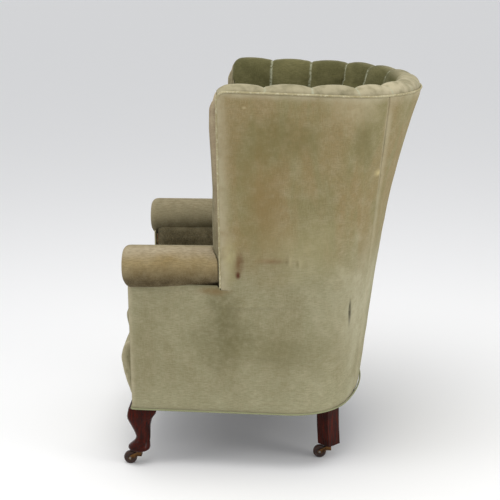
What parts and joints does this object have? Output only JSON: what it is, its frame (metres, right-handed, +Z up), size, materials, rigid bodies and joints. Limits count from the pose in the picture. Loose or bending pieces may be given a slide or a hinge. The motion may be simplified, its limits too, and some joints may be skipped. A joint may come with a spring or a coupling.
{
  "type": "wingback armchair",
  "caption": "Wing armchair with a channelled barrel back, scalloped crest, scroll arms, loose seat cushion, cabriole front legs and swivel castors.",
  "frame": {"origin": "centre of the bounding box at floor level, under the seat", "axes": "+Z up, -Y out of the front of the seat, +X to the sitter's left"},
  "size_m": [0.8286, 0.8448, 1.0753],
  "materials": {
    "mahogany": "polished",
    "beech": "matte",
    "castor_brass": "tarnished",
    "castor_wood": "satin",
    "steel": "dull",
    "outside_velvet": "worn velvet",
    "channel_velvet": "worn velvet",
    "piping": "velvet",
    "hessian": "coarse weave",
    "black_cloth": "matte"
  },
  "bodies": {
    "chair": {"arm_facing_left": "outside_velvet", "arm_facing_right": "outside_velvet", "arm_post_left": "beech", "arm_post_right": "beech", "arm_rail_left": "beech", "arm_rail_right": "beech", "arm_roll_left": "outside_velvet", "arm_roll_right": "outside_velvet", "back_channels": "channel_velvet", "back_post_left": "beech", "back_post_right": "beech", "back_seat_rail": "beech", "back_webbing": "hessian", "base_piping": "piping", "castor_plate_front_left": "castor_brass", "castor_plate_front_right": "castor_brass", "castor_plate_rear_left": "castor_brass", "castor_plate_rear_right": "castor_brass", "castor_screws": "steel", "corner_blocks": "beech", "crest_roll": "channel_velvet", "dust_cover": "black_cloth", "edge_piping": "piping", "front_border": "outside_velvet", "front_leg_left": "mahogany", "front_leg_right": "mahogany", "front_seat_rail": "beech", "inside_arm_pad_left": "channel_velvet", "inside_arm_pad_right": "channel_velvet", "outside_arm_panel_left": "outside_velvet", "outside_arm_panel_right": "outside_velvet", "outside_back_panel": "outside_velvet", "outside_wing_panel_left": "outside_velvet", "outside_wing_panel_right": "outside_velvet", "rear_leg_left": "mahogany", "rear_leg_right": "mahogany", "seat_platform": "hessian", "seat_springs": "steel", "seat_webbing": "hessian", "side_seat_rail_left": "beech", "side_seat_rail_right": "beech", "stuffing_rail": "beech", "top_rail": "beech", "wing_edge_left": "outside_velvet", "wing_edge_right": "outside_velvet", "wing_post_left": "beech", "wing_post_right": "beech"},
    "castor_front_left": {"castor_horn_front_left": "castor_brass", "castor_axle_front_left": "steel"},
    "wheel_front_left": {"castor_wheel_front_left": "castor_wood"},
    "castor_front_right": {"castor_horn_front_right": "castor_brass", "castor_axle_front_right": "steel"},
    "wheel_front_right": {"castor_wheel_front_right": "castor_wood"},
    "castor_rear_left": {"castor_horn_rear_left": "castor_brass", "castor_axle_rear_left": "steel"},
    "wheel_rear_left": {"castor_wheel_rear_left": "castor_wood"},
    "castor_rear_right": {"castor_horn_rear_right": "castor_brass", "castor_axle_rear_right": "steel"},
    "wheel_rear_right": {"castor_wheel_rear_right": "castor_wood"},
    "cushion": {"seat_cushion": "channel_velvet"}
  },
  "joints": [
    {"name": "castor_swivel_front_left", "type": "hinge", "parent": "chair", "child": "castor_front_left", "pos_m": [0.303, -0.369, 0.03], "axis": [0, 0, 1], "continuous": true},
    {"name": "wheel_roll_front_left", "type": "hinge", "parent": "castor_front_left", "child": "wheel_front_left", "pos_m": [0.303, -0.395, 0.0185], "axis": [1, 0, 0], "continuous": true},
    {"name": "castor_swivel_front_right", "type": "hinge", "parent": "chair", "child": "castor_front_right", "pos_m": [-0.303, -0.369, 0.03], "axis": [0, 0, 1], "continuous": true},
    {"name": "wheel_roll_front_right", "type": "hinge", "parent": "castor_front_right", "child": "wheel_front_right", "pos_m": [-0.303, -0.395, 0.0185], "axis": [1, 0, 0], "continuous": true},
    {"name": "castor_swivel_rear_left", "type": "hinge", "parent": "chair", "child": "castor_rear_left", "pos_m": [0.246, 0.164, 0.03], "axis": [0, 0, 1], "continuous": true},
    {"name": "wheel_roll_rear_left", "type": "hinge", "parent": "castor_rear_left", "child": "wheel_rear_left", "pos_m": [0.246, 0.138, 0.0185], "axis": [1, 0, 0], "continuous": true},
    {"name": "castor_swivel_rear_right", "type": "hinge", "parent": "chair", "child": "castor_rear_right", "pos_m": [-0.246, 0.164, 0.03], "axis": [0, 0, 1], "continuous": true},
    {"name": "wheel_roll_rear_right", "type": "hinge", "parent": "castor_rear_right", "child": "wheel_rear_right", "pos_m": [-0.246, 0.138, 0.0185], "axis": [1, 0, 0], "continuous": true},
    {"name": "cushion_lift", "type": "slide", "parent": "chair", "child": "cushion", "axis": [0, 0, 1], "range_m": [0, 0.25]}
  ]
}
